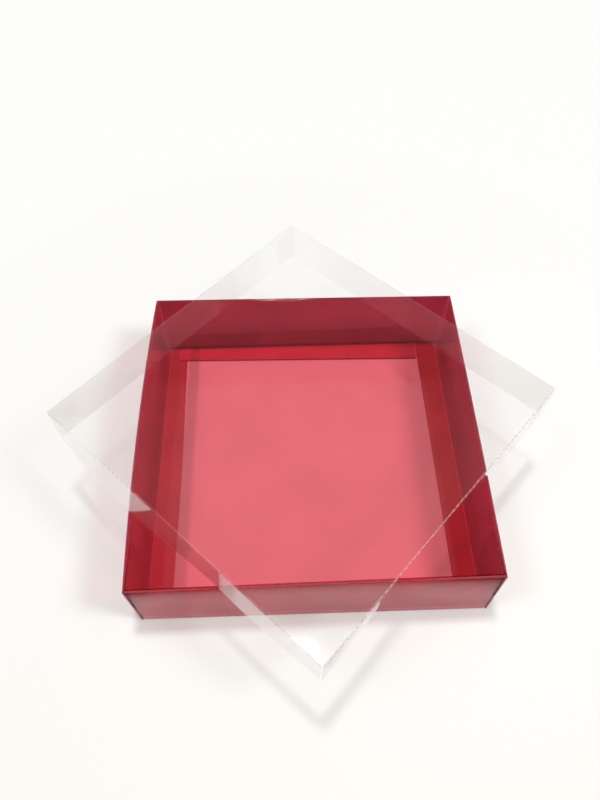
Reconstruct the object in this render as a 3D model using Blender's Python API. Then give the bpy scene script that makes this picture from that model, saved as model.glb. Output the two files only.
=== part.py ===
"""Gift box folded from two sheets of acetate film: a red tray under a clear lid.

Each side of the tray is folded twice over, so it has an outer wall, a narrow rim, an inner wall and a
flap that lies on the floor. Tuck tabs at the ends of the front and back outer walls turn the corners
between the two layers of the side walls. The lid's walls hang from its top and are glued at the
corners by tabs. It lies across the tray, turned, with the lower edges of its walls on the rim.

X runs to the right, Y to the back and Z up. The origin is the middle of the tray's underside.
"""
import math

import bmesh
import bpy

# Tray, outer sizes
TRAY_WIDTH = 0.200
TRAY_DEPTH = 0.200
TRAY_HEIGHT = 0.050

# Tray, folded edges
TRAY_FILM = 0.0004
TRAY_BEND = 0.0003
RIM_WIDTH = 0.0020

# Tray, floor flaps, and how far the back one reaches into the place of the left one
FLAP_WIDTH = 0.0150
FLAP_CORNER = 0.0015
FLAP_LAP = 0.0085

# Tray, tuck tabs in the side walls
TUCK_LENGTH = 0.030
TUCK_TAPER = 0.006

# Lid
LID_HEIGHT = 0.0280
LID_FILM = 0.0003
LID_BEND = 0.0003
LID_TAB_LENGTH = 0.016
LID_TAB_TAPER = 0.004

# How the lid lies on the tray
LID_TURN = math.radians(-43.7)
LID_SHIFT_X = -0.0031
LID_SHIFT_Y = -0.0028

# Clearances
CREASE_GAP = 0.0003
LAYER_GAP = 0.0003
LID_CLEARANCE = 0.0017
WELD_DISTANCE = 0.00001

# Counts
BEND_STEPS = 4
CORNER_STEPS = 6

# Finish, from the photograph
RED_FILM = {"colour": (0.60, 0.025, 0.05, 1.0), "roughness": 0.12, "alpha": 0.62}
CLEAR_FILM = {"colour": (0.93, 0.92, 0.90, 1.0), "roughness": 0.06, "alpha": 0.18}

# Sizes that follow
TRAY_FOLD = TRAY_FILM + TRAY_BEND
LID_FOLD = LID_FILM + LID_BEND
LID_WIDTH = TRAY_WIDTH + 2 * (LID_CLEARANCE + LID_FILM)
LID_DEPTH = TRAY_DEPTH + 2 * (LID_CLEARANCE + LID_FILM)
LID_REST = TRAY_HEIGHT + LAYER_GAP
WALL_TOP = TRAY_HEIGHT - TRAY_FOLD - CREASE_GAP
INNER_FOOT = TRAY_FILM + LAYER_GAP
INNER_BACK = RIM_WIDTH - TRAY_FILM
FLAP_START = INNER_BACK + TRAY_FOLD + CREASE_GAP
FLAP_HINGE = FLAP_START + TRAY_FILM / 2
FLAP_EDGE = RIM_WIDTH + FLAP_WIDTH
MITRE_GAP = CREASE_GAP / math.sqrt(2)

# Sides and corners of the tray, and the names that the lid's take from how it lies
SIDE_ANGLES = {"front": 0.0, "right": math.pi / 2, "back": math.pi, "left": 3 * math.pi / 2}
CORNERS = {
    "front_left": (-1, -1),
    "front_right": (1, -1),
    "back_right": (1, 1),
    "back_left": (-1, 1),
}
LID_SIDES = {"front": "front_left", "right": "front_right", "back": "back_right", "left": "back_left"}
LID_CORNERS = {"front_left": "left", "front_right": "front", "back_right": "right", "back_left": "back"}


def clear_scene():
    """Remove the objects that a new file starts with."""
    for obj in list(bpy.data.objects):
        bpy.data.objects.remove(obj, do_unlink=True)


def new_collection(name):
    """Add a collection to the scene."""
    collection = bpy.data.collections.new(name)
    bpy.context.scene.collection.children.link(collection)
    return collection


def film_material(name, finish):
    """See-through glossy film in one colour."""
    material = bpy.data.materials.new(name)
    material.use_nodes = True
    shader = material.node_tree.nodes["Principled BSDF"]
    shader.inputs["Base Color"].default_value = finish["colour"]
    shader.inputs["Roughness"].default_value = finish["roughness"]
    shader.inputs["Metallic"].default_value = 0.0
    shader.inputs["Alpha"].default_value = finish["alpha"]
    material.diffuse_color = finish["colour"]
    return material


def arc(centre, radius, start, end, steps):
    """Points on a round stretch of an outline, angles in degrees."""
    points = []
    for step in range(steps + 1):
        angle = math.radians(start + (end - start) * step / steps)
        x = centre[0] + radius * math.cos(angle)
        y = centre[1] + radius * math.sin(angle)
        points.append((x, y))
    return points


def extruded_mesh(name, outline, length):
    """Solid between two copies of a flat outline, half its length either side of the plane."""
    curve = bpy.data.curves.new(name, "CURVE")
    curve.dimensions = "2D"
    curve.fill_mode = "BOTH"
    curve.extrude = length / 2
    spline = curve.splines.new("POLY")
    spline.points.add(len(outline) - 1)
    for point, (x, y) in zip(spline.points, outline):
        point.co = (x, y, 0.0, 1.0)
    spline.use_cyclic_u = True
    guide = bpy.data.objects.new(name, curve)
    mesh = bpy.data.meshes.new_from_object(guide)
    bpy.data.objects.remove(guide)
    bpy.data.curves.remove(curve)
    mesh.name = name
    return mesh


def reshape(mesh, move):
    """Weld a mesh's caps to its sides, move each point by a rule and face the surface outward."""
    solid = bmesh.new()
    solid.from_mesh(mesh)
    bmesh.ops.remove_doubles(solid, verts=solid.verts, dist=WELD_DISTANCE)
    for vert in solid.verts:
        vert.co = move(*vert.co)
    bmesh.ops.recalc_face_normals(solid, faces=solid.faces)
    if solid.calc_volume(signed=True) < 0:
        bmesh.ops.reverse_faces(solid, faces=solid.faces)
    solid.to_mesh(mesh)
    solid.free()


def add_part(name, mesh, collection, finish, location=(0.0, 0.0, 0.0), angle=0.0, parent=None):
    """Place one piece of film, turned about the vertical."""
    part = bpy.data.objects.new(name, mesh)
    part.location = location
    part.rotation_euler = (0.0, 0.0, angle)
    part.parent = parent
    mesh.materials.append(film_material(name + "_film", finish))
    collection.objects.link(part)
    return part


def level_sheet(name, outline, film, height):
    """Level piece of film, with its middle at a height."""
    mesh = extruded_mesh(name, outline, film)
    reshape(mesh, lambda x, y, z: (x, y, z + height))
    return mesh


def level_panel(name, width, depth, film, height):
    """Level rectangle of film about the origin."""
    right, back = width / 2, depth / 2
    outline = [(-right, -back), (right, -back), (right, back), (-right, back)]
    return level_sheet(name, outline, film, height)


def side_place(side, width, depth):
    """Where a side's outer face is, how far it is turned and how long it is."""
    angle = SIDE_ANGLES[side]
    across = depth if side in ("front", "back") else width
    length = width if side in ("front", "back") else depth
    location = (math.sin(angle) * across / 2, -math.cos(angle) * across / 2, 0.0)
    return location, angle, length


def folded_strip(name, section, length, trim):
    """Strip along a side, from a section that runs inward and up.

    The trim is a rule that says how far from the corner each end lies, by the distance inward.
    """
    mesh = extruded_mesh(name, section, length)

    def stand_up(inward, height, along):
        end = length / 2 - trim(inward)
        return (math.copysign(end, along), inward, height)

    reshape(mesh, stand_up)
    return mesh


def square_end(distance):
    """Trim for a strip that is cut square, this far from the corner."""
    return lambda inward: distance


def mitred_end(inward):
    """Trim for a strip that meets its neighbour on the corner's diagonal."""
    return inward + MITRE_GAP


def upper_bend(start, top, fold, film):
    """Outer and inner points where film that rises on its outer face turns inward at the top."""
    centre = (start + fold, top - fold)
    outer = arc(centre, fold, 180, 90, BEND_STEPS)
    inner = arc(centre, fold - film, 90, 180, BEND_STEPS)
    return outer, inner


def lower_bend(start, bottom, fold, film):
    """Outer and inner points where film that comes down turns inward at the bottom."""
    centre = (start + fold, bottom + fold)
    outer = arc(centre, fold, 180, 270, BEND_STEPS)
    inner = arc(centre, fold - film, 270, 180, BEND_STEPS)
    return outer, inner


def wall_section(start, bottom, top):
    """Section of a tray wall that stands from its crease with the floor or a flap to the rim."""
    outer, inner = lower_bend(start, bottom, TRAY_FOLD, TRAY_FILM)
    return [(start, top)] + outer + inner + [(start + TRAY_FILM, top)]


def rim_section():
    """Section of the rim: film that turns over the top of both walls."""
    outer, inner = upper_bend(0.0, TRAY_HEIGHT, TRAY_FOLD, TRAY_FILM)
    outer_back = [(RIM_WIDTH - x, z) for x, z in reversed(outer)]
    inner_back = [(RIM_WIDTH - x, z) for x, z in reversed(inner)]
    return outer + outer_back + inner_back + inner


def lid_wall_section():
    """Section of a lid wall, which hangs from its crease with the lid's top."""
    outer, inner = upper_bend(0.0, LID_HEIGHT, LID_FOLD, LID_FILM)
    return [(0.0, 0.0)] + outer + inner + [(LID_FILM, 0.0)]


def floor_panel(collection):
    """Single layer of film that the tray stands on."""
    edge = TRAY_FOLD + CREASE_GAP
    width = TRAY_WIDTH - 2 * edge
    depth = TRAY_DEPTH - 2 * edge
    mesh = level_panel("floor_panel", width, depth, TRAY_FILM, TRAY_FILM / 2)
    add_part("floor_panel", mesh, collection, RED_FILM)


def tray_side(side, collection):
    """Outer wall, rim and inner wall of one side."""
    location, angle, length = side_place(side, TRAY_WIDTH, TRAY_DEPTH)
    covered = side in ("front", "back")
    corner_trim = corner_reach(TRAY_FILM, TRAY_FOLD) if covered else 0.0

    section = wall_section(0.0, 0.0, WALL_TOP)
    mesh = folded_strip("outer_wall_" + side, section, length, square_end(corner_trim))
    add_part("outer_wall_" + side, mesh, collection, RED_FILM, location, angle)

    mesh = folded_strip("rim_" + side, rim_section(), length, mitred_end)
    add_part("rim_" + side, mesh, collection, RED_FILM, location, angle)

    section = wall_section(INNER_BACK, INNER_FOOT, WALL_TOP)
    mesh = folded_strip("inner_wall_" + side, section, length, mitred_end)
    add_part("inner_wall_" + side, mesh, collection, RED_FILM, location, angle)


def flap_end(half_length, reach):
    """Right end of a flap's outline, rounded at the free edge."""
    centre = (half_length - FLAP_CORNER, reach - FLAP_CORNER)
    return [(half_length, 0.0)] + arc(centre, FLAP_CORNER, 0, 90, CORNER_STEPS)


def flap_outline(side, length, reach):
    """Outline of a flap from its crease.

    The side flaps run the full depth, and the front and back flaps fit between them. The back flap's
    left end reaches further, and the left flap is narrow there to leave room for it.
    """
    short_half = length / 2 - FLAP_EDGE - CREASE_GAP
    half_length = short_half if side in ("front", "back") else length / 2 - FLAP_START
    right_end = flap_end(half_length + FLAP_LAP if side == "back" else half_length, reach)
    if side == "left":
        narrow = reach - FLAP_LAP
        step = [(-short_half, reach), (-short_half, narrow)]
        left_end = step + [(-half_length, narrow), (-half_length, 0.0)]
    else:
        left_end = [(-x, y) for x, y in reversed(flap_end(half_length, reach))]
    return right_end + left_end


def floor_flap(side, collection):
    """Flap on the tray's floor, with its origin on the crease that it turns about."""
    location, angle, length = side_place(side, TRAY_WIDTH, TRAY_DEPTH)
    outline = flap_outline(side, length, FLAP_EDGE - FLAP_HINGE)
    mesh = level_sheet("floor_flap_" + side, outline, TRAY_FILM, 0.0)
    hinge = (
        location[0] - math.sin(angle) * FLAP_HINGE,
        location[1] + math.cos(angle) * FLAP_HINGE,
        INNER_FOOT + TRAY_FILM / 2,
    )
    add_part("floor_flap_" + side, mesh, collection, RED_FILM, hinge, angle)


def corner_reach(film, fold):
    """Distance from a corner at which a wall ends and its corner tab begins to turn."""
    return film + LAYER_GAP + fold + CREASE_GAP


def corner_tab(name, corner, film, fold, length, bottom, top, taper):
    """Tab that turns from the end of one wall to lie behind the next, narrower at its free end."""
    start = film + LAYER_GAP
    outer = arc((start + fold, fold), fold, 270, 180, BEND_STEPS)
    inner = arc((start + fold, fold), fold - film, 180, 270, BEND_STEPS)
    outline = outer + [(start, length), (start + film, length)] + inner
    mesh = extruded_mesh(name, outline, top - bottom)
    side_x, side_y = corner

    def stand_in_corner(across, behind, height):
        share = max(0.0, behind - fold) / (length - fold)
        middle = (bottom + top) / 2
        half = (top - bottom) / 2 - taper * share
        return (-side_x * across, -side_y * behind, middle + math.copysign(half, height))

    reshape(mesh, stand_in_corner)
    return mesh


def tuck_tab(corner_name, collection):
    """Tab of the front or back outer wall, tucked between the two layers of a side wall."""
    corner = CORNERS[corner_name]
    name = "tuck_tab_" + corner_name
    bottom = TRAY_FOLD + CREASE_GAP
    mesh = corner_tab(name, corner, TRAY_FILM, TRAY_FOLD, TUCK_LENGTH, bottom, WALL_TOP, TUCK_TAPER)
    location = (corner[0] * TRAY_WIDTH / 2, corner[1] * TRAY_DEPTH / 2, 0.0)
    add_part(name, mesh, collection, RED_FILM, location)


def lid_top(collection, lid_frame):
    """Flat top of the lid, inside the creases of its four walls."""
    edge = LID_FOLD + CREASE_GAP
    width = LID_WIDTH - 2 * edge
    depth = LID_DEPTH - 2 * edge
    mesh = level_panel("lid_top", width, depth, LID_FILM, LID_HEIGHT - LID_FILM / 2)
    add_part("lid_top", mesh, collection, CLEAR_FILM, parent=lid_frame)


def lid_wall(side, collection, lid_frame):
    """Wall of the lid. The front and back walls end short, where their tabs turn the corners."""
    location, angle, length = side_place(side, LID_WIDTH, LID_DEPTH)
    covered = side in ("front", "back")
    corner_trim = corner_reach(LID_FILM, LID_FOLD) if covered else 0.0
    name = "lid_wall_" + LID_SIDES[side]
    mesh = folded_strip(name, lid_wall_section(), length, square_end(corner_trim))
    add_part(name, mesh, collection, CLEAR_FILM, location, angle, lid_frame)


def lid_tab(corner_name, collection, lid_frame):
    """Glued tab in a corner of the lid."""
    corner = CORNERS[corner_name]
    name = "lid_tab_" + LID_CORNERS[corner_name]
    top = LID_HEIGHT - LID_FOLD - CREASE_GAP
    mesh = corner_tab(name, corner, LID_FILM, LID_FOLD, LID_TAB_LENGTH, LID_FILM, top, LID_TAB_TAPER)
    location = (corner[0] * LID_WIDTH / 2, corner[1] * LID_DEPTH / 2, 0.0)
    add_part(name, mesh, collection, CLEAR_FILM, location, parent=lid_frame)


def red_sheet(collection):
    """All pieces of the tray."""
    floor_panel(collection)
    for side in SIDE_ANGLES:
        tray_side(side, collection)
        floor_flap(side, collection)
    for corner_name in CORNERS:
        tuck_tab(corner_name, collection)


def clear_sheet(collection):
    """All pieces of the lid, on an empty where the lid lies."""
    lid_frame = bpy.data.objects.new("lid", None)
    lid_frame.location = (LID_SHIFT_X, LID_SHIFT_Y, LID_REST)
    lid_frame.rotation_euler = (0.0, 0.0, LID_TURN)
    collection.objects.link(lid_frame)
    lid_top(collection, lid_frame)
    for side in SIDE_ANGLES:
        lid_wall(side, collection, lid_frame)
    for corner_name in CORNERS:
        lid_tab(corner_name, collection, lid_frame)


def main():
    """Build the gift box."""
    clear_scene()
    collection = new_collection("acetate_gift_box")
    red_sheet(collection)
    clear_sheet(collection)


main()
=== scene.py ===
# Looks of a gift box folded from acetate film: a red tray under a clear lid that lies turned across it.
import math

import bmesh
import bpy
from mathutils import Matrix, Vector, noise


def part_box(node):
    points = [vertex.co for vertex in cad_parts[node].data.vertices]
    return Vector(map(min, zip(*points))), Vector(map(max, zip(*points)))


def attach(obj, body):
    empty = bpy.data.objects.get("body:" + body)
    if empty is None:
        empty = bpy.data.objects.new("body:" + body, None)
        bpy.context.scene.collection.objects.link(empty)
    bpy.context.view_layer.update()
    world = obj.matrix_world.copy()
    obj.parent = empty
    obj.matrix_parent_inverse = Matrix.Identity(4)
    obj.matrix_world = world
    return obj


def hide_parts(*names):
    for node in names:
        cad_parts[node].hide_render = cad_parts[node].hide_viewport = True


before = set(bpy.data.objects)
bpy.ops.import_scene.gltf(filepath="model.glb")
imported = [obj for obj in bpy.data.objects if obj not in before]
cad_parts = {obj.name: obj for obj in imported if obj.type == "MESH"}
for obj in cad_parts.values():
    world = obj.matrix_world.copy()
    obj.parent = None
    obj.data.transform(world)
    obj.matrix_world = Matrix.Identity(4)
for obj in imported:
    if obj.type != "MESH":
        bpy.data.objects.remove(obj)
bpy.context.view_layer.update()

# Sizes that the frame gives
FLOOR_LOW, FLOOR_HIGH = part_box("floor_panel")
RIM_LOW, RIM_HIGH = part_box("rim_front")
FLAP_LOW, FLAP_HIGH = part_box("floor_flap_front")
BACK_FLAP_LOW, BACK_FLAP_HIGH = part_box("floor_flap_back")
TUCK_LOW, TUCK_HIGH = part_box("tuck_tab_front_left")
LID_LOW, LID_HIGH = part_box("lid_top")
LID_TAB_LOW, LID_TAB_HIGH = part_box("lid_tab_front")
LID_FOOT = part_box("lid_wall_front_left")[0].z
INNER_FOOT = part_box("inner_wall_front")[0].z
HALF_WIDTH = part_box("outer_wall_right")[1].x
FILM = FLOOR_HIGH.z - FLOOR_LOW.z
HALF_DEPTH = -RIM_LOW.y
HEIGHT = RIM_HIGH.z
RIM_WIDTH = RIM_HIGH.y - RIM_LOW.y
FLOOR_EDGE = HALF_DEPTH + FLOOR_LOW.y
HINGE = HALF_DEPTH + FLAP_LOW.y
FLAP_EDGE = HALF_DEPTH + FLAP_HIGH.y
TUCK_LENGTH = TUCK_HIGH.y + HALF_DEPTH
LID_FILM = LID_HIGH.z - LID_LOW.z
LID_HEIGHT = LID_HIGH.z - LID_FOOT

# Folds: the gap that stands for one between two solids, their outer radii, how far the lid's outside
# stands out from its flat top, and how far wear reaches past a fold
CREASE_GAP = 0.0003
FOLD = FLOOR_EDGE - CREASE_GAP
LID_FOLD = 0.0006
LID_MARGIN = 0.0009
SHOULDER = 0.0004

# Gaps between layers and at mitres, how far a wall with tabs stays short of the corner, and how far the
# lid's other walls do
LAYER_GAP = 0.0003
MITRE_GAP = 0.00002
TRAY_COVER = 0.0017
LID_COVER = 0.0015
LID_BUTT = LID_FILM / 2 + SHOULDER / 4

# Scored creases between the strips and the flaps, which are bevelled so that the flaps can fold up
SCORE_GAP = 0.00004
SCORE_REACH = 1.5 * SCORE_GAP
SCORE_BEVEL = 0.0002

# Flaps: how much longer the front one is than its solid, the gap to the next flap, and how far inward
# the left one is narrow
FLAP_OVERRUN = 0.0002
FLAP_HALF = FLAP_HIGH.x + FLAP_OVERRUN
FLAP_GAP = 0.00002
FLAP_CORNER = 0.0015
FLAP_START = HINGE + SCORE_GAP
NARROW_EDGE = HALF_WIDTH + BACK_FLAP_LOW.x - FLAP_GAP

# Corner tabs, which narrow towards their free ends
TUCK_TAPER = 0.006
LID_TAB_LENGTH = 0.016
LID_TAB_TAPER = 0.004

# Meshes: steps along a strip, across a wall, round a fold and across a plate, and how they are finished
ALONG_STEPS = 40
WALL_STEPS = 10
FOLD_STEPS = 6
PLATE_STEPS = 48
WELD_DISTANCE = SCORE_GAP / 10
SKIN_TRIM = 0.000002
SHARP_DEGREES = 40

# Bowing of the tray's panels between their folds, inward, and of its rims, outward, with the share of
# the rim's bow that the inner wall has
OUTER_BOW = {"front": 0.0012, "right": 0.0002, "back": 0.0002, "left": 0.0002}
INNER_BOW = {"front": 0.0009, "right": -0.0003, "back": 0.0001, "left": -0.0003}
RIM_BOW = {"front": 0.0, "right": 0.0004, "back": 0.0001, "left": 0.0025}
INNER_BOW_SHARE = 0.7

# Sag of the lid's top, and the slight unevenness of all panels, with a seed for each kind of panel
LID_SAG = 0.0006
RIPPLE = 0.00012
RIPPLE_SCALE = 28.0
FLAP_SEED = 3.0
FLOOR_SEED = 5.0
SIDE_SEED = 7.0
LID_TOP_SEED = 11.0
LID_WALL_SEED = 20.0

# How far the tray's corners lean at the rim, in x and y
LEAN = {
    "front_left": Vector((-0.0007, -0.0007, 0.0)),
    "front_right": Vector((0.0002, 0.0013, 0.0)),
    "back_right": Vector((0.0011, -0.0008, 0.0)),
    "back_left": Vector((-0.0001, 0.0013, 0.0)),
}

# Floor flaps: how much shorter they are at shares of their length, and how far their free edges stand up
FLAP_CUT = {
    "front": ((0.0, 0.0), (1.0, 0.0)),
    "right": ((0.0, 0.0), (1.0, 0.0)),
    "back": ((0.0, 0.0), (1.0, 0.0031)),
    "left": ((0.0, 0.0016), (0.08, 0.0016), (0.5, 0.0), (1.0, 0.0)),
}
FLAP_LIFT = 0.0002

# Lid walls: how far the lower edge bows outward at shares of the wall's length
LID_WALLS = ("front_left", "front_right", "back_right", "back_left")
LID_BOW = {
    "front_left": (
        (0.0, 0.0), (0.11, 0.0025), (0.30, 0.0040), (0.50, 0.0023),
        (0.62, 0.0011), (0.75, 0.0015), (1.0, 0.0),
    ),
    "front_right": (
        (0.0, 0.0), (0.16, -0.0010), (0.30, -0.0026), (0.50, -0.0029),
        (0.68, -0.0022), (0.80, -0.0006), (1.0, 0.0),
    ),
    "back_right": ((0.0, 0.0), (0.5, -0.0004), (1.0, 0.0)),
    "back_left": ((0.0, 0.0), (0.5, -0.0004), (1.0, 0.0)),
}

# Wear: of the lid's creases, which is dotted along them, and of the tray's creases. How strong the lid's
# crease wear is differs from crease to crease, and on the front-right one its bright dots are in part a
# painted highlight for the crease's glints. The lid's walls have an even haze, which fades out towards the
# back as painted light for the brighter light there. The back flap's free edge has a strip of painted
# shade. Film that is as worn as the last value mirrors nothing
LID_WEAR = {"front_left": 0.35, "front_right": 0.9, "back_right": 0.12, "back_left": 0.12}
DOT_PITCH = 0.0037
DOT_WAVE = (-0.3, 0.5)
DOT_SHARES = (0.45, 1.0)
LID_WALL_HAZE = 0.11
LID_CLEAR_FROM = 0.085
LID_CLEAR_TO = 0.13
FOOT_WEAR = 0.15
FLAP_FOLD_WEAR = 0.15
SHADED_FREE_EDGE = 0.0005
WORN_FULLY = 0.25

# Light that one sheet of film lets through, and its index of refraction, which sets how it mirrors. The
# red film is one sheet, so the tints that differ from side to side, for flaps and walls, are painted light
# and shade for how each side is lit and seen. The front wall's two indices make it mirror strongly at its
# foot and hardly at its rim, and the lid's make it mirror less towards the back: both are painted reflection
RED_FLOOR = (0.94, 0.36, 0.42)
RED_FLAP = {
    "front": (0.84, 0.28, 0.33),
    "right": (0.76, 0.22, 0.29),
    "back": (0.90, 0.33, 0.44),
    "left": (0.82, 0.30, 0.37),
}
RED_WALL = {
    "front": (0.89, 0.22, 0.34),
    "right": (0.68, 0.21, 0.28),
    "back": (0.58, 0.155, 0.205),
    "left": (0.75, 0.23, 0.30),
}
RED_TUCK = (0.97, 0.85, 0.87)
CLEAR_SHEET = (0.992, 0.99, 0.982)
RED_IOR = 1.46
FRONT_IORS = (1.80, 1.02)
CLEAR_IOR_FRONT = 1.40
CLEAR_IOR_BACK = 1.19
GLUED_IOR = 1.12

# Where a film has its second tint, as stations of (place, share): the front side towards its rim, which
# is darker there as painted shade, the floor in the painted shade of the side flaps, the turns of the tuck
# tabs at the corners, and the lid towards the back, which is clearer there as painted light
FRONT_SHADE = 0.86
FRONT_SHADED = ((0.005, 0.0), (0.045, 1.0))
FLOOR_SHADE = 0.87
FLOOR_SHADED = (
    (-0.0835, 0.0), (-0.083, 1.0), (-0.0775, 1.0), (-0.0745, 0.0),
    (0.064, 0.0), (0.076, 0.55), (0.083, 0.6), (0.0835, 0.0),
)
TUCK_TURNS = ((-0.1, 1.0), (-0.0978, 1.0), (-0.0972, 0.0), (0.0972, 0.0), (0.0978, 1.0))
CLEAREST = ((-0.1, 0.0), (0.03, 0.0), (0.09, 1.0))
CLEAREST_SHEET = (0.9995, 0.9995, 0.996)

# Colour of worn film, the share of the light that it scatters where it is worn most, and how much of
# that comes out of its other side. The seam colour is near black and is painted shade, at the front
# corner seams and along the back flap's free edge
# The red wear is real, but its colour differs by side to match how each side's rims look in their light,
# which is painted light in part
RED_SCUFF = {
    "front": (0.55, 0.10, 0.125),
    "right": (0.48, 0.06, 0.10),
    "back": (0.46, 0.035, 0.06),
    "left": (0.48, 0.06, 0.11),
}
RED_SCUFF_SHARE = 0.6
SEAM_SHADE_PAINT = (0.02, 0.002, 0.004)
SEAM_SHADE_SHARE = 0.95
# The clear film's wear is pink, a painted tint for the red light that the tray throws on the lid's creases
CLEAR_SCUFF = (0.97, 0.84, 0.85)
CLEAR_SCUFF_SHARE = 0.4
CLEAR_THROUGH_SHARE = 0.5

# Fine unevenness of the film: how much darker its deepest clouds are, how dense they and its grain
# are, where they start and end in their noise, and what they do to its surface and its wear
WALL_CLOUDS = 0.08
FLOOR_CLOUDS = 0.03
TUCK_CLOUDS = 0.04
LID_CLOUDS = 0.01
LID_TAB_CLOUDS = 0.02
CLOUD_SCALE = 22.0
CLOUD_DETAIL = 3.0
CLOUD_NOISE = (0.35, 0.65)
GRAIN_SCALE = 900.0
GRAIN_DETAIL = 2.0
GRAIN_NOISE = (0.3, 0.7)
ROUGHNESS = (0.03, 0.07)
BUMP_STRENGTH = 0.15
BUMP_DEPTH = 0.0001
WEAR_NOISE = (0.40, 0.60)
WEAR_SHARES = (0.8, 1.0)

# Cut edges: their colours, how much they hide low down and high up, and where that changes. The seam
# edges at the front are dark only high up, as painted shade of the seams
DARK_EDGE = (0.10, 0.004, 0.012)
LIGHT_EDGE = (0.45, 0.03, 0.05)
CLEAR_EDGE = (0.85, 0.83, 0.80)
SEAM_ALPHAS = (0.1, 0.95)
DARK_ALPHAS = (0.9, 0.9)
LIGHT_ALPHAS = (0.1, 0.1)
CLEAR_ALPHAS = (0.05, 0.05)
ALPHA_LEVELS = (0.45 * HEIGHT, 0.55 * HEIGHT)
EDGE_ROUGHNESS = 0.25
EDGE_GRAIN_SCALE = 700.0
EDGE_SHADE = 0.5

# Table, which is warmer towards the front
TABLE_SIZE = 6.0
TABLE_LEVEL = -0.0002
TABLE_WHITE = (1.0, 1.0, 0.985)
TABLE_WARM = (0.985, 0.955, 0.915)
WARM_RUN = (-0.25, 0.10)
WARM_SHARES = (0.9, 0.1)
TABLE_CLOUD_SCALE = 9.0
TABLE_CLOUD_DETAIL = 4.0
TABLE_CLOUD_SHARE = 0.1

# Glow of the table as the camera and mirrors see it, from its share near the box to that further off
GLOW_NEAR = 0.1
GLOW_FAR = 0.95
GLOW_START = 0.16
GLOW_END = 0.34

# Light, as the share of white that each lamp gives a level surface
LAMP_SHARE = 0.37
LAMP_SIZE = 0.15
LAMP_PLACE = (-0.03, 0.13, 1.5)
RIGHT_SHARE = 0.28
RIGHT_PLACE = (0.89, -0.34, 1.3)
LEFT_SHARE = 0.12
LEFT_PLACE = (-0.74, -0.28, 1.3)
SIDE_LAMP_SIZE = 0.34
FILL_SHARE = 0.07
FILL_SIZE = 2.6
FILL_PLACE = (0.0, -0.7, 1.8)

# Room round the box, as bright as its first value low down and as its second overhead
ROOM_COLOUR = (1.0, 0.99, 0.97, 1.0)
ROOM_LOW = 0.06
ROOM_HIGH = 0.34
ROOM_FROM = 0.66
ROOM_TO = 0.86

# Camera, solved from the photograph, and how many faces of film can be seen through one another
CAMERA_PLACE = (-0.01242, -0.21434, 0.39356)
CAMERA_PITCH = 56.13
CAMERA_YAW = 1.88
CAMERA_LENS = 30.31
SENSOR = 36.0
CAMERA_NEAR = 0.01
LAYERS_SEEN = 48

SIDES = ("front", "right", "back", "left")
CORNERS = {
    "front_left": (-1, -1),
    "front_right": (1, -1),
    "back_right": (1, 1),
    "back_left": (-1, 1),
}
LID_CORNERS = {"left": (-1, -1), "front": (1, -1), "right": (1, 1), "back": (-1, 1)}


def rounded(centre, radius, start, end):
    """Points on a fold, angles in degrees."""
    points = []
    for step in range(FOLD_STEPS + 1):
        angle = math.radians(start + (end - start) * step / FOLD_STEPS)
        points.append((centre[0] + radius * math.cos(angle), centre[1] + radius * math.sin(angle)))
    return points


def upright(across, start, end):
    """Points of a flat stretch between two folds, with one close to each end, where a worn crease stops."""
    way = math.copysign(SHOULDER, end - start)
    levels = [start + way]
    for step in range(1, WALL_STEPS):
        levels.append(start + (end - start) * step / WALL_STEPS)
    levels.append(end - way)
    return [(across, level) for level in levels]


def spline(stations, share):
    """Smooth curve through stations of (share, value)."""
    slopes = []
    for index in range(len(stations)):
        low = stations[max(index - 1, 0)]
        high = stations[min(index + 1, len(stations) - 1)]
        slopes.append((high[1] - low[1]) / (high[0] - low[0]))
    for index in range(len(stations) - 1):
        start, end = stations[index], stations[index + 1]
        if share <= end[0] or index == len(stations) - 2:
            width = end[0] - start[0]
            t = min(max((share - start[0]) / width, 0.0), 1.0)
            rise = (3 - 2 * t) * t * t
            lean_in = t * (1 - t) ** 2 * width * slopes[index]
            lean_out = t * t * (1 - t) * width * slopes[index + 1]
            return start[1] + (end[1] - start[1]) * rise + lean_in - lean_out


def film_mesh(name, grids, thickness, put=None, scored=None):
    """Film of one thickness about grids of (point, crease, distance along it).

    Its cut edges take the second material, but for those at a scored crease, which one rule tells. A
    second rule may then put each of its corners in another place.
    """
    surface = bmesh.new()
    crease_mark = surface.verts.layers.float.new("crease")
    along_mark = surface.verts.layers.float.new("along")
    for rows in grids:
        grid = []
        for row in rows:
            line = []
            for point, crease, along in row:
                vert = surface.verts.new(point)
                vert[crease_mark] = crease
                vert[along_mark] = along
                line.append(vert)
            grid.append(line)
        for lower, upper in zip(grid, grid[1:]):
            for corners in zip(lower, lower[1:], upper[1:], upper):
                surface.faces.new(corners)
    bmesh.ops.remove_doubles(surface, verts=surface.verts, dist=WELD_DISTANCE)
    bmesh.ops.recalc_face_normals(surface, faces=surface.faces)
    mesh = bpy.data.meshes.new(name)
    surface.to_mesh(mesh)
    surface.free()
    guide = bpy.data.objects.new(name, mesh)
    bpy.context.scene.collection.objects.link(guide)
    solidify = guide.modifiers.new("film", "SOLIDIFY")
    solidify.thickness = thickness - SKIN_TRIM
    solidify.offset = 0.0
    solidify.use_even_offset = True
    solidify.material_offset_rim = 1
    mesh.materials.append(None)
    mesh.materials.append(None)
    shown = guide.evaluated_get(bpy.context.evaluated_depsgraph_get())
    final = bpy.data.meshes.new_from_object(shown)
    bpy.data.objects.remove(guide)
    if scored:
        for face in final.polygons:
            if scored(face.center):
                face.material_index = 0
    if put:
        for vert in final.vertices:
            vert.co = put(vert.co)
    final.shade_smooth()
    final.set_sharp_from_angle(angle=math.radians(SHARP_DEGREES))
    return final


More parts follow.
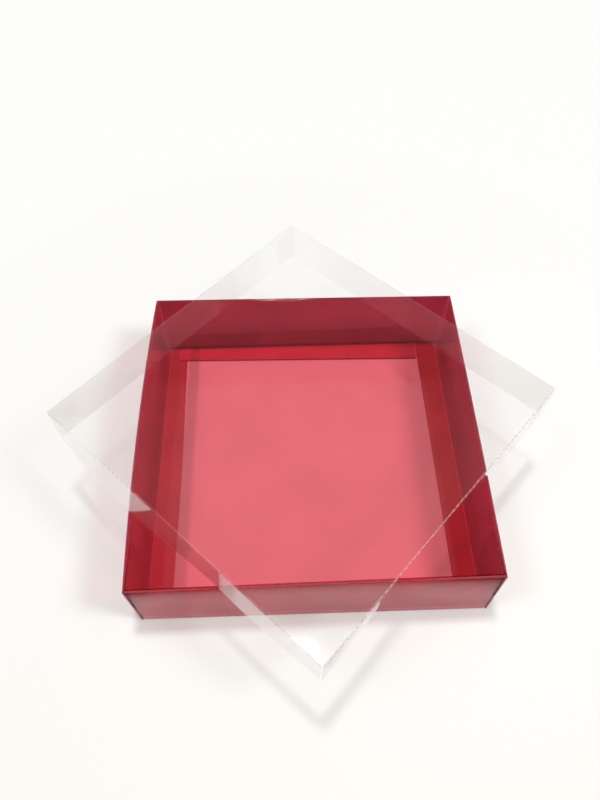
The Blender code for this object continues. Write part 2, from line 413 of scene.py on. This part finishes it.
def add_piece(name, mesh, body, film, edge, nodes):
    """Object in the row frame that rides on a body of the frame and stands for some of its nodes."""
    piece = bpy.data.objects.new(name, mesh)
    bpy.context.scene.collection.objects.link(piece)
    mesh.materials[0] = film
    mesh.materials[1] = edge
    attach(piece, body)
    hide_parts(*nodes)


def ripple(x, y, seed):
    """Slight unevenness of a panel, from -1 to 1."""
    return noise.noise(Vector((x * RIPPLE_SCALE, y * RIPPLE_SCALE, seed)))


def hump(share):
    """0 at both ends of a panel and 1 at its middle."""
    clamped = min(max(share, 0.0), 1.0)
    return 4.0 * clamped * (1.0 - clamped)


def leaned(point):
    """Point of the tray after its corners have leaned."""
    right = min(max((point.x / HALF_WIDTH + 1) / 2, 0.0), 1.0)
    back = min(max((point.y / HALF_DEPTH + 1) / 2, 0.0), 1.0)
    front_lean = LEAN["front_left"].lerp(LEAN["front_right"], right)
    back_lean = LEAN["back_left"].lerp(LEAN["back_right"], right)
    return point + front_lean.lerp(back_lean, back) * (point.z / HEIGHT)


def rim_push(side, share, height):
    """How far a side has bowed outward at a share of its length, most at the rim."""
    return RIM_BOW[side] * hump(share) * height / HEIGHT


def side_matrix(side):
    """Local frame of a tray side: x along it, y inward from its outer face, z up."""
    angle = SIDES.index(side) * math.pi / 2
    reach = HALF_DEPTH if side in ("front", "back") else HALF_WIDTH
    place = Vector((math.sin(angle) * reach, -math.cos(angle) * reach, 0.0))
    return Matrix.Translation(place) @ Matrix.Rotation(angle, 4, "Z")


def side_section():
    """Middle line of the folded film from the floor's crease to the flap's.

    Each point is (inward, height), with how worn the film is there.
    """
    half = FILM / 2
    radius = FOLD - half
    top = HEIGHT - FOLD
    inner_start = RIM_WIDTH - FILM
    inner_low = INNER_FOOT + FOLD
    foot = [(FLOOR_EDGE, half)] + rounded((FOLD, FOLD), radius, 270, 180)
    outer = upright(half, FOLD, top)
    rim = rounded((FOLD, top), radius, 180, 90)
    inner = rounded((RIM_WIDTH - FOLD, top), radius, 90, 0) + upright(RIM_WIDTH - half, top, inner_low)
    flap_fold = rounded((inner_start + FOLD, inner_low), radius, 180, 270)
    end = [(HINGE - SCORE_GAP, INNER_FOOT + half)]
    section = [(point, FOOT_WEAR) for point in foot] + [(point, 0.0) for point in outer]
    section += [(point, 1.0) for point in rim] + [(point, 0.0) for point in inner]
    section += [(point, FLAP_FOLD_WEAR) for point in flap_fold] + [(point, 0.0) for point in end]
    return section


def at_score(point):
    """Whether a point of a side's strip or its flap is at the scored crease between them."""
    return HINGE - SCORE_REACH < point.y < HINGE + SCORE_REACH and point.z < INNER_FOOT + FOLD


def bevelled(point):
    """Point after the upper edges at the scored crease have been cut back."""
    if not at_score(point) or point.z < INNER_FOOT + FILM / 2:
        return point
    return point + Vector((0.0, math.copysign(SCORE_BEVEL, point.y - HINGE), 0.0))


def side_place(side, point):
    """Place of a point of a side's strip, which was made straight, upright and with square ends.

    The inner wall and the rim are mitred, the panels bow and the corners lean.
    """
    length = HALF_WIDTH if side in ("front", "back") else HALF_DEPTH
    cover = TRAY_COVER if side in ("front", "back") else 0.0
    outside = point.z < HEIGHT - FOLD and point.y < (FLOOR_EDGE + RIM_WIDTH - FILM) / 2
    point = bevelled(point)
    x = point.x * (1.0 - (cover if outside else point.y + MITRE_GAP) / length)
    across = min(max(point.y / RIM_WIDTH, 0.0), 1.0)
    bow = OUTER_BOW[side] if outside else INNER_BOW[side]
    envelope = hump((point.x / length + 1) / 2) * hump(point.z / HEIGHT)
    push = envelope * (bow + RIPPLE * ripple(x, point.z, SIDES.index(side) * SIDE_SEED + outside))
    push -= (1.0 + (INNER_BOW_SHARE - 1.0) * across) * rim_push(side, (x / length + 1) / 2, point.z)
    return leaned(side_matrix(side) @ Vector((x, point.y + push, point.z)))


def side_sheet(side, film, edge):
    """Outer wall, rim and inner wall of one side, as the one folded strip that they are."""
    length = HALF_WIDTH if side in ("front", "back") else HALF_DEPTH
    rows = []
    for (inward, height), crease in side_section():
        row = []
        for step in range(ALONG_STEPS + 1):
            x = length * (2.0 * step / ALONG_STEPS - 1.0)
            row.append((Vector((x, inward, height)), crease, x))
        rows.append(row)
    name = "side_sheet_" + side
    nodes = [part + side for part in ("outer_wall_", "rim_", "inner_wall_")]
    mesh = film_mesh(name, [rows], FILM, lambda point: side_place(side, point), at_score)
    add_piece(name, mesh, "tray", film, edge, nodes)


def floor_sheet(film, edge):
    """The single layer that the box stands on."""
    half_x = HALF_WIDTH - FLOOR_EDGE - SCORE_GAP
    half_y = HALF_DEPTH - FLOOR_EDGE - SCORE_GAP
    rows = []
    for step in range(PLATE_STEPS + 1):
        share_y = step / PLATE_STEPS
        row = []
        for across in range(PLATE_STEPS + 1):
            share_x = across / PLATE_STEPS
            point = Vector((half_x * (2.0 * share_x - 1.0), half_y * (2.0 * share_y - 1.0), FILM / 2))
            rise = 1.0 + ripple(point.x, point.y, FLOOR_SEED)
            point.z += RIPPLE / 2 * hump(share_x) * hump(share_y) * rise
            row.append((point, 0.0, 0.0))
        rows.append(row)
    mesh = film_mesh("floor_sheet", [rows], FILM)
    add_piece("floor_sheet", mesh, "tray", film, edge, ["floor_panel"])


def flap_ends(side):
    """Where a flap starts and ends along its side."""
    if side == "front":
        return -FLAP_HALF, FLAP_HALF
    if side == "back":
        return -BACK_FLAP_HIGH.x, -BACK_FLAP_LOW.x
    half = HALF_DEPTH - (RIM_WIDTH - FILM) - FLOOR_EDGE
    return -half, half


def flap_distances():
    """Distances inward of the grid lines across a flap, from its crease to its rounded free corners."""
    corner_start = FLAP_EDGE - FLAP_CORNER
    distances = [FLAP_START, NARROW_EDGE]
    for step in range(1, WALL_STEPS):
        distances.append(FLAP_START + (corner_start - FLAP_START) * step / WALL_STEPS)
    for step in range(FOLD_STEPS + 1):
        distances.append(corner_start + FLAP_CORNER * math.sin(math.pi / 2 * step / FOLD_STEPS))
    return sorted(distances)


def flap_cut(side, x):
    """How much shorter a flap is at a place along it."""
    low, high = flap_ends(side)
    return spline(FLAP_CUT[side], (x - low) / (high - low))


def flap_reach(side, x, inward):
    """Distance inward of a grid line of a flap at a place along it, after the cut of its free edge."""
    return inward - flap_cut(side, x) * max(0.0, inward - NARROW_EDGE) / (FLAP_EDGE - NARROW_EDGE)


def flap_row(side, inward, first, last, count):
    """Grid line along a flap, at a distance inward. The back flap's free edge is marked for painted shade.
    """
    share = (inward - FLAP_START) / (FLAP_EDGE - FLAP_START)
    # The back flap's free edge is marked for painted shade, which its film paints near black
    worn = 1.0 if side == "back" and inward > FLAP_EDGE - SHADED_FREE_EDGE else 0.0
    row = []
    for step in range(count + 1):
        x = first + (last - first) * step / count
        lift = share * share * FLAP_LIFT * (1.0 + ripple(x, inward, FLAP_SEED)) / 2
        row.append((Vector((x, flap_reach(side, x, inward), INNER_FOOT + FILM / 2 + lift)), worn, x))
    return row


def flap_sheet(side, film, edge):
    """Flap on the floor, with rounded corners at its free edge.

    The left one is narrow beside the back one, and starts past its free edge from there on.
    """
    low, high = flap_ends(side)
    rows, narrow_rows = [], []
    for inward in flap_distances():
        beyond = max(0.0, inward - FLAP_EDGE + FLAP_CORNER)
        drawn = FLAP_CORNER - math.sqrt(max(0.0, FLAP_CORNER ** 2 - beyond ** 2))
        first = low + drawn
        if side == "left":
            beside = HALF_WIDTH - flap_reach(side, -FLAP_HALF, inward)
            first = FLAP_EDGE + FLAP_GAP - HALF_DEPTH - flap_cut("back", beside)
            if inward <= NARROW_EDGE:
                narrow_rows.append(flap_row(side, inward, low, first, FOLD_STEPS))
        rows.append(flap_row(side, inward, first, high - drawn, ALONG_STEPS))
    name = "flap_sheet_" + side
    grids = [rows, narrow_rows] if narrow_rows else [rows]
    matrix = side_matrix(side)
    mesh = film_mesh(name, grids, FILM, lambda point: matrix @ bevelled(point), at_score)
    add_piece(name, mesh, "flap_" + side, film, edge, ["floor_flap_" + side])


def tab_path(film, fold, cover, length):
    """Middle line of a corner tab, as (across, behind), and where its straight part starts.

    It runs from the end of its wall round the corner and behind the next wall.
    """
    start = film + LAYER_GAP
    turn = rounded((start + fold, fold), fold - film / 2, 270, 180)
    path = [(cover - SCORE_GAP, film / 2)] + turn
    last = turn[-1]
    for step in range(1, WALL_STEPS + 1):
        path.append((last[0], last[1] + (length - last[1]) * step / WALL_STEPS))
    return path, last[1]


def tab_rows(path, turn_end, length, bottom, top, taper, place):
    """Grid of a corner tab that narrows towards its free end. A rule puts each point in its place.

    The upper half of its turn is marked; at the front corners that mark is painted shade of the seams.
    """
    middle = (bottom + top) / 2
    rows = []
    for level in range(WALL_STEPS + 1):
        row = []
        for across, behind in path:
            share = max(0.0, behind - turn_end) / (length - turn_end)
            half = (top - bottom) / 2 - taper * share
            height = middle + half * (2.0 * level / WALL_STEPS - 1.0)
            worn = 1.0 if 2 * level >= WALL_STEPS and behind <= turn_end else 0.0
            row.append((place(across, behind, height), worn, 0.0))
        rows.append(row)
    return rows


def tuck_sheet(corner_name, film, edge):
    """Tab of the front or back outer wall, tucked between the two layers of a side wall."""
    side_x, side_y = CORNERS[corner_name]
    side = "right" if side_x > 0 else "left"
    path, turn_end = tab_path(FILM, FOLD, TRAY_COVER, TUCK_LENGTH)

    def place(across, behind, height):
        x = HALF_WIDTH - across + rim_push(side, behind / (2 * HALF_DEPTH), height)
        return leaned(Vector((side_x * x, side_y * (HALF_DEPTH - behind), height)))

    rows = tab_rows(path, turn_end, TUCK_LENGTH, TUCK_LOW.z, TUCK_HIGH.z, TUCK_TAPER, place)
    name = "tuck_sheet_" + corner_name
    mesh = film_mesh(name, [rows], FILM)
    add_piece(name, mesh, "tray", film, edge, ["tuck_tab_" + corner_name])


def lid_place():
    """Local frame of the lid on its lower edges and half its outer size, from the corners of its top."""
    middle = LID_LOW.z + LID_FILM / 2
    points = [vert.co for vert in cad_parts["lid_top"].data.vertices if vert.co.z > middle]
    centre = sum((Vector(point) for point in points), Vector()) / len(points)
    front = min(points, key=lambda point: point.y)
    right = max(points, key=lambda point: point.x)
    edge = right - front
    angle = math.atan2(edge.y, edge.x) - math.pi / 2
    half = edge.length / 2 + LID_MARGIN
    place = Vector((centre.x, centre.y, LID_FOOT))
    return Matrix.Translation(place) @ Matrix.Rotation(angle, 4, "Z"), half


def plate_stations(flat):
    """Places of the lid top's grid lines, with one close to each edge, where the worn crease stops."""
    places = [-flat, -flat + SHOULDER]
    for step in range(1, PLATE_STEPS):
        places.append(flat * (2.0 * step / PLATE_STEPS - 1.0))
    return places + [flat - SHOULDER, flat]


def lid_wear(x, y, flat):
    """How worn the crease is at a place on the edge of the lid's top, and how far along it the place is."""
    if max(abs(x), abs(y)) < flat - SHOULDER / 2:
        return 0.0, 0.0
    if abs(y) >= abs(x):
        return LID_WEAR["front_left" if y < 0 else "back_right"], x
    return LID_WEAR["front_right" if x > 0 else "back_left"], y


def lid_top_rows(matrix, flat, stations):
    """Grid of the lid's top, which sags a little."""
    rows = []
    for y in stations:
        row = []
        for x in stations:
            envelope = hump((x / flat + 1) / 2) * hump((y / flat + 1) / 2)
            drop = envelope * (LID_SAG + RIPPLE * ripple(x, y, LID_TOP_SEED))
            wear, along = lid_wear(x, y, flat)
            row.append((matrix @ Vector((x, y, LID_HEIGHT - LID_FILM / 2 - drop)), wear, along))
        rows.append(row)
    return rows


def lid_wall_rows(turn, matrix, half, flat, stations):
    """Grid of a lid wall, from its fold with the top down to its bowed lower edge."""
    name = LID_WALLS[turn]
    radius = LID_FOLD - LID_FILM / 2
    fold = rounded((0.0, LID_HEIGHT - LID_FOLD), radius, 90, 0)
    wall = upright(radius, LID_HEIGHT - LID_FOLD, -SHOULDER)[:-1] + [(radius, 0.0)]
    turned = matrix @ Matrix.Rotation(turn * math.pi / 2, 4, "Z")
    end = half - (LID_BUTT if turn % 2 else LID_COVER)
    rows = []
    for index, (outward, level) in enumerate(fold + wall):
        length = flat + (end - flat) * outward / radius
        row = []
        for place in stations:
            x = place * length / flat
            share = (place / flat + 1) / 2
            push = spline(LID_BOW[name], share) * (1.0 - level / LID_HEIGHT)
            push += RIPPLE * hump(level / LID_HEIGHT) * hump(share) * ripple(x, level, LID_WALL_SEED + turn)
            point = turned @ Vector((x, -(flat + outward + push), level))
            # The haze on the walls fades out towards the back, as painted light for the brighter light there
            hazy = min(max((LID_CLEAR_TO - point.y) / (LID_CLEAR_TO - LID_CLEAR_FROM), 0.0), 1.0)
            crease = LID_WEAR[name] if index < len(fold) else LID_WALL_HAZE * hazy
            row.append((point, crease, place))
        rows.append(row)
    return rows


def lid_sheet(matrix, half, film, edge):
    """Top and four walls of the lid, as the one folded sheet that they are."""
    flat = half - LID_FOLD
    stations = plate_stations(flat)
    grids = [lid_top_rows(matrix, flat, stations)]
    for turn in range(len(LID_WALLS)):
        grids.append(lid_wall_rows(turn, matrix, half, flat, stations))
    mesh = film_mesh("lid_sheet", grids, LID_FILM)
    nodes = ["lid_top"] + ["lid_wall_" + name for name in LID_WALLS]
    add_piece("lid_sheet", mesh, "lid", film, edge, nodes)


def lid_tab_sheet(corner_name, matrix, half, film, edge):
    """Glued tab in a corner of the lid, behind the wall that it is glued to."""
    side_x, side_y = LID_CORNERS[corner_name]
    path, turn_end = tab_path(LID_FILM, LID_FOLD, LID_COVER, LID_TAB_LENGTH)
    wall = "front_right" if side_x > 0 else "back_left"

    def place(across, behind, height):
        share = (behind if side_x * side_y < 0 else 2 * half - behind) / (2 * half)
        push = spline(LID_BOW[wall], share) * (1.0 - height / LID_HEIGHT)
        return matrix @ Vector((side_x * (half - across + push), side_y * (half - behind), height))

    bottom = LID_TAB_LOW.z - LID_FOOT
    top = LID_TAB_HIGH.z - LID_FOOT
    rows = tab_rows(path, turn_end, LID_TAB_LENGTH, bottom, top, LID_TAB_TAPER, place)
    name = "lid_tab_sheet_" + corner_name
    mesh = film_mesh(name, [rows], LID_FILM)
    add_piece(name, mesh, "lid", film, edge, ["lid_tab_" + corner_name])


def new_material(name):
    """Material with nothing but its output."""
    material = bpy.data.materials.new(name)
    material.use_nodes = True
    material.node_tree.nodes.clear()
    output = material.node_tree.nodes.new("ShaderNodeOutputMaterial")
    return material, material.node_tree, output


def feed(tree, socket, value):
    """Give an input a value or a link."""
    if isinstance(value, bpy.types.NodeSocket):
        tree.links.new(value, socket)
    else:
        socket.default_value = value


def node(tree, kind, **inputs):
    """Node of a kind, with values or links for its inputs by name."""
    made = tree.nodes.new(kind)
    for name, value in inputs.items():
        feed(tree, made.inputs[name.replace("_", " ")], value)
    return made


def math_node(tree, operation, first, second):
    """Sum, product or other operation on two values."""
    made = tree.nodes.new("ShaderNodeMath")
    made.operation = operation
    feed(tree, made.inputs[0], first)
    feed(tree, made.inputs[1], second)
    return made.outputs[0]


def ranged(tree, value, low, high, new_low, new_high):
    """Value moved from one range to another, clamped."""
    made = tree.nodes.new("ShaderNodeMapRange")
    tree.links.new(value, made.inputs["Value"])
    for name, number in zip(("From Min", "From Max", "To Min", "To Max"), (low, high, new_low, new_high)):
        made.inputs[name].default_value = number
    return made.outputs["Result"]


def stepped(tree, value, stations):
    """Value by place, from -HALF_WIDTH to HALF_WIDTH, through stations of (place, value)."""
    ramp = tree.nodes.new("ShaderNodeValToRGB")
    tree.links.new(ranged(tree, value, -HALF_WIDTH, HALF_WIDTH, 0.0, 1.0), ramp.inputs["Fac"])
    elements = ramp.color_ramp.elements
    elements.remove(elements[1])
    elements[0].position = (stations[0][0] / HALF_WIDTH + 1) / 2
    elements[0].color = (stations[0][1],) * 3 + (1.0,)
    for place, level in stations[1:]:
        elements.new((place / HALF_WIDTH + 1) / 2).color = (level,) * 3 + (1.0,)
    return ramp.outputs["Color"]


def blend_colours(tree, factor, first, second, way="MIX"):
    """Mix or product of two colours."""
    made = tree.nodes.new("ShaderNodeMix")
    made.data_type = "RGBA"
    made.blend_type = way
    feed(tree, made.inputs["Factor"], factor)
    for name, colour in (("A", first), ("B", second)):
        linked = isinstance(colour, bpy.types.NodeSocket)
        feed(tree, made.inputs[name], colour if linked else tuple(colour) + (1.0,))
    return made.outputs["Result"]


def blend_shaders(tree, factor, first, second):
    """Mix of two shaders."""
    made = node(tree, "ShaderNodeMixShader", Fac=factor)
    tree.links.new(first, made.inputs[1])
    tree.links.new(second, made.inputs[2])
    return made.outputs["Shader"]


def scattered(tree, colour, through_share):
    """Worn film, or film with painted shade, which scatters light back and, as a share, to its other side.
    """
    matt = node(tree, "ShaderNodeBsdfDiffuse", Color=colour + (1.0,)).outputs["BSDF"]
    through = node(tree, "ShaderNodeBsdfTranslucent", Color=colour + (1.0,)).outputs["BSDF"]
    return blend_shaders(tree, through_share, matt, through)


def noisy(tree, place, scale, detail):
    """Noise at a place."""
    return node(tree, "ShaderNodeTexNoise", Vector=place, Scale=scale, Detail=detail).outputs["Fac"]


def film_material(
    name, sheet, iors, ior_run, scuff, scuff_share, depth, other=None, through=0.0, dotted=False,
):
    """See-through film: each face tints half as much as the sheet does, and mirrors by angle.

    The index of refraction goes from its first value to its second along a run of (axis, start, end).
    Depth is how much darker the deepest clouds are. Other holds a second tint, with the axis and the
    stations of (place, share) where the film has it. Where the film is worn, or marked for painted shade,
    it scatters light instead, a share of it through to the other side, and its wear may be dotted along the
    crease.
    """
    material, tree, output = new_material(name)
    place = tree.nodes.new("ShaderNodeTexCoord").outputs["Object"]
    axes = node(tree, "ShaderNodeSeparateXYZ", Vector=place).outputs
    clouds = noisy(tree, place, CLOUD_SCALE, CLOUD_DETAIL)
    grain = noisy(tree, place, GRAIN_SCALE, GRAIN_DETAIL)

    tint = [math.sqrt(share) for share in sheet]
    if other:
        other_sheet, axis, stations = other
        other_tint = [math.sqrt(share) for share in other_sheet]
        tint = blend_colours(tree, stepped(tree, axes[axis], stations), tint, other_tint)
    cloud = [math.sqrt(1.0 - depth)] * 3
    cloud = blend_colours(tree, ranged(tree, clouds, *CLOUD_NOISE, 0.0, 1.0), (1.0, 1.0, 1.0), cloud)
    shade = blend_colours(tree, 1.0, tint, cloud, "MULTIPLY")
    clear = node(tree, "ShaderNodeBsdfTransparent", Color=shade).outputs["BSDF"]

    bump = node(tree, "ShaderNodeBump", Strength=BUMP_STRENGTH, Distance=BUMP_DEPTH, Height=clouds)
    gloss = node(tree, "ShaderNodeBsdfAnisotropic", Color=(1.0, 1.0, 1.0, 1.0))
    tree.links.new(bump.outputs["Normal"], gloss.inputs["Normal"])
    tree.links.new(ranged(tree, grain, *GRAIN_NOISE, *ROUGHNESS), gloss.inputs["Roughness"])

    crease = tree.nodes.new("ShaderNodeAttribute")
    crease.attribute_name = "crease"
    back = tree.nodes.new("ShaderNodeNewGeometry").outputs["Backfacing"]
    axis, start, end = ior_run
    index = ranged(tree, axes[axis], start, end, *iors)
    unworn = ranged(tree, crease.outputs["Fac"], LID_WALL_HAZE, WORN_FULLY, 1.0, 0.0)
    power = math_node(tree, "MULTIPLY", unworn, ranged(tree, back, 0.0, 1.0, 1.0, -1.0))
    index = math_node(tree, "POWER", index, power)
    mirror = node(tree, "ShaderNodeFresnel", IOR=index).outputs["Fac"]
    film = blend_shaders(tree, mirror, clear, gloss.outputs["BSDF"])

    worn = math_node(tree, "MULTIPLY", ranged(tree, grain, *WEAR_NOISE, *WEAR_SHARES), crease.outputs["Fac"])
    if dotted:
        along = tree.nodes.new("ShaderNodeAttribute")
        along.attribute_name = "along"
        turns = math_node(tree, "MULTIPLY", along.outputs["Fac"], 2 * math.pi / DOT_PITCH)
        wave = math_node(tree, "COSINE", turns, 0.0)
        dots = math_node(tree, "MAXIMUM", ranged(tree, wave, *DOT_WAVE, *DOT_SHARES), unworn)
        worn = math_node(tree, "MULTIPLY", worn, dots)
    worn = math_node(tree, "MULTIPLY", worn, scuff_share)
    whole = blend_shaders(tree, worn, film, scattered(tree, scuff, through))
    tree.links.new(whole, output.inputs["Surface"])
    return material


def edge_material(name, colour, alphas):
    """Cut edge of the film, where light runs the long way through it. It may be clearer low down."""
    material, tree, output = new_material(name)
    place = tree.nodes.new("ShaderNodeTexCoord").outputs["Object"]
    grain = noisy(tree, place, EDGE_GRAIN_SCALE, GRAIN_DETAIL)
    height = node(tree, "ShaderNodeSeparateXYZ", Vector=place).outputs["Z"]
    alpha = ranged(tree, height, *ALPHA_LEVELS, *alphas)
    paint = node(tree, "ShaderNodeBsdfPrincipled", Roughness=EDGE_ROUGHNESS, Alpha=alpha)
    tone = blend_colours(tree, grain, colour, [EDGE_SHADE * share for share in colour])
    tree.links.new(tone, paint.inputs["Base Color"])
    tree.links.new(paint.outputs["BSDF"], output.inputs["Surface"])
    return material


def table_material():
    """Plain white table, a little warmer towards the front, that glows more the further off it is."""
    material, tree, output = new_material("white_table")
    place = tree.nodes.new("ShaderNodeTexCoord").outputs["Object"]
    clouds = noisy(tree, place, TABLE_CLOUD_SCALE, TABLE_CLOUD_DETAIL)
    depth = node(tree, "ShaderNodeSeparateXYZ", Vector=place).outputs["Y"]
    cloudy = math_node(tree, "MULTIPLY", clouds, TABLE_CLOUD_SHARE)
    warmth = math_node(tree, "ADD", ranged(tree, depth, *WARM_RUN, *WARM_SHARES), cloudy)
    tone = blend_colours(tree, warmth, TABLE_WHITE, TABLE_WARM)
    matt = node(tree, "ShaderNodeBsdfDiffuse", Color=tone).outputs["BSDF"]
    glow = node(tree, "ShaderNodeEmission", Color=tone, Strength=1.0).outputs["Emission"]
    distance = tree.nodes.new("ShaderNodeVectorMath")
    distance.operation = "LENGTH"
    tree.links.new(place, distance.inputs[0])
    share = ranged(tree, distance.outputs["Value"], GLOW_START, GLOW_END, GLOW_NEAR, GLOW_FAR)
    path = tree.nodes.new("ShaderNodeLightPath").outputs
    seen = math_node(tree, "MAXIMUM", path["Is Camera Ray"], path["Is Glossy Ray"])
    seen = math_node(tree, "MAXIMUM", seen, path["Is Transmission Ray"])
    mixed = blend_shaders(tree, math_node(tree, "MULTIPLY", seen, share), matt, glow)
    tree.links.new(mixed, output.inputs["Surface"])
    return material


def table():
    """Table top that the box stands on."""
    bpy.ops.mesh.primitive_plane_add(size=TABLE_SIZE, location=(0.0, 0.0, TABLE_LEVEL))
    top = bpy.context.object
    top.name = "table_top"
    top.data.materials.append(table_material())


def lights():
    """Ceiling lamp almost overhead, two weaker lamps, a wide soft fill and the room.

    The room is darker low down where it is mirrored or lights the box, and white where it is looked at.
    """
    area_light("ceiling_lamp", LAMP_PLACE, LAMP_SIZE, LAMP_SHARE)
    hidden = [
        area_light("right_lamp", RIGHT_PLACE, SIDE_LAMP_SIZE, RIGHT_SHARE),
        area_light("left_lamp", LEFT_PLACE, SIDE_LAMP_SIZE, LEFT_SHARE),
        area_light("front_fill", FILL_PLACE, FILL_SIZE, FILL_SHARE),
    ]
    for lamp in hidden:
        lamp.visible_glossy = False
    world = bpy.data.worlds.new("room")
    world.use_nodes = True
    tree = world.node_tree
    background = tree.nodes["Background"]
    background.inputs["Color"].default_value = ROOM_COLOUR
    coordinates = tree.nodes.new("ShaderNodeTexCoord").outputs["Generated"]
    way = node(tree, "ShaderNodeSeparateXYZ", Vector=coordinates)
    strength = ranged(tree, way.outputs["Z"], ROOM_FROM, ROOM_TO, ROOM_LOW, ROOM_HIGH)
    path = tree.nodes.new("ShaderNodeLightPath").outputs
    seen = math_node(tree, "MAXIMUM", path["Is Camera Ray"], path["Is Transmission Ray"])
    tree.links.new(math_node(tree, "MAXIMUM", strength, seen), background.inputs["Strength"])
    bpy.context.scene.world = world


def area_light(name, place, size, share):
    """Square lamp that faces the box and gives a level surface there this share of white."""
    data = bpy.data.lights.new(name, "AREA")
    data.shape = "SQUARE"
    data.size = size
    distance = Vector(place).length
    slant = math.hypot(size / 2, distance)
    seen = 4.0 / math.pi * size / 2 / slant * math.atan(size / 2 / slant)
    data.energy = share * math.pi * size ** 2 / (seen * place[2] / distance)
    lamp = bpy.data.objects.new(name, data)
    lamp.location = place
    lamp.rotation_euler = Vector(place).to_track_quat("Z", "Y").to_euler()
    bpy.context.scene.collection.objects.link(lamp)
    return lamp


def camera():
    """The photograph's camera."""
    data = bpy.data.cameras.new("camera")
    data.lens = CAMERA_LENS
    data.sensor_width = SENSOR
    data.clip_start = CAMERA_NEAR
    shot = bpy.data.objects.new("camera", data)
    shot.location = CAMERA_PLACE
    shot.rotation_euler = (math.radians(90.0 - CAMERA_PITCH), 0.0, math.radians(-CAMERA_YAW))
    bpy.context.scene.collection.objects.link(shot)
    bpy.context.scene.camera = shot


def shaded(sheet, share):
    """Sheet that lets only this share of the light through."""
    return [share * part for part in sheet]


def red_film(name, sheet, scuff, depth, iors=(RED_IOR, RED_IOR), other=None):
    """Red film with worn folds."""
    return film_material(name, sheet, iors, ("Z", 0.0, HEIGHT), scuff, RED_SCUFF_SHARE, depth, other)


def tray():
    """The red sheet's pieces. The front seams and the back flap's free edge are painted dark, as shade, and
    the flaps and walls have a tint for each side that stands in for how each side is lit.
    """
    seam_edge = edge_material("red_seam_edge", DARK_EDGE, SEAM_ALPHAS)
    light_edge = edge_material("red_light_edge", LIGHT_EDGE, LIGHT_ALPHAS)
    dark_edge = edge_material("red_dark_edge", DARK_EDGE, DARK_ALPHAS)
    for side in SIDES:
        scuff = RED_SCUFF[side]
        iors, shade = (RED_IOR, RED_IOR), None
        if side == "front":
            # The front wall mirrors strongly at its foot and hardly at its rim, and is darker towards its
            # rim: painted reflection and shade
            iors, shade = FRONT_IORS, (shaded(RED_WALL[side], FRONT_SHADE), "Z", FRONT_SHADED)
        wall_film = red_film("red_wall_film_" + side, RED_WALL[side], scuff, WALL_CLOUDS, iors, shade)
        side_sheet(side, wall_film, seam_edge if side == "front" else light_edge)
        # The back flap takes the near-black seam colour for the painted shade along its free edge
        flap_scuff_and_shade = SEAM_SHADE_PAINT if side == "back" else scuff
        flap_film = red_film("red_flap_film_" + side, RED_FLAP[side], flap_scuff_and_shade, WALL_CLOUDS)
        flap_sheet(side, flap_film, dark_edge if side == "back" else light_edge)
    for corner_name in CORNERS:
        # The front tuck tabs are painted near black on the upper half of their turn, as shade of the seams
        share = SEAM_SHADE_SHARE if corner_name.startswith("front") else 0.0
        tuck_film = film_material(
            "red_tuck_film_" + corner_name, RED_TUCK, (GLUED_IOR, GLUED_IOR), ("Z", 0.0, HEIGHT),
            SEAM_SHADE_PAINT, share, TUCK_CLOUDS, (RED_WALL["back"], "Y", TUCK_TURNS),
        )
        tuck_sheet(corner_name, tuck_film, seam_edge if share else light_edge)
    shade = (shaded(RED_FLOOR, FLOOR_SHADE), "X", FLOOR_SHADED)
    floor_film = red_film("red_floor_film", RED_FLOOR, RED_SCUFF["back"], FLOOR_CLOUDS, other=shade)
    floor_sheet(floor_film, light_edge)


def lid():
    """The clear sheet's pieces. The film is clearer and mirrors less towards the back, as painted light."""
    edge = edge_material("clear_cut_edge", CLEAR_EDGE, CLEAR_ALPHAS)
    run = ("Y", -HALF_DEPTH / 2, HALF_DEPTH)
    film = film_material(
        "clear_film", CLEAR_SHEET, (CLEAR_IOR_FRONT, CLEAR_IOR_BACK), run, CLEAR_SCUFF,
        CLEAR_SCUFF_SHARE, LID_CLOUDS, (CLEAREST_SHEET, "Y", CLEAREST), CLEAR_THROUGH_SHARE, dotted=True,
    )
    glued = film_material(
        "clear_glued_film", CLEAR_SHEET, (GLUED_IOR, GLUED_IOR), run, CLEAR_SCUFF, 0.0, LID_TAB_CLOUDS,
    )
    matrix, half = lid_place()
    lid_sheet(matrix, half, film, edge)
    for corner_name in LID_CORNERS:
        lid_tab_sheet(corner_name, matrix, half, glued, edge)


def main():
    """Dress the box, set it on its table and light it."""
    tray()
    lid()
    table()
    lights()
    camera()
    scene = bpy.context.scene
    scene.view_settings.view_transform = "Standard"
    scene.cycles.transparent_max_bounces = LAYERS_SEEN


main()
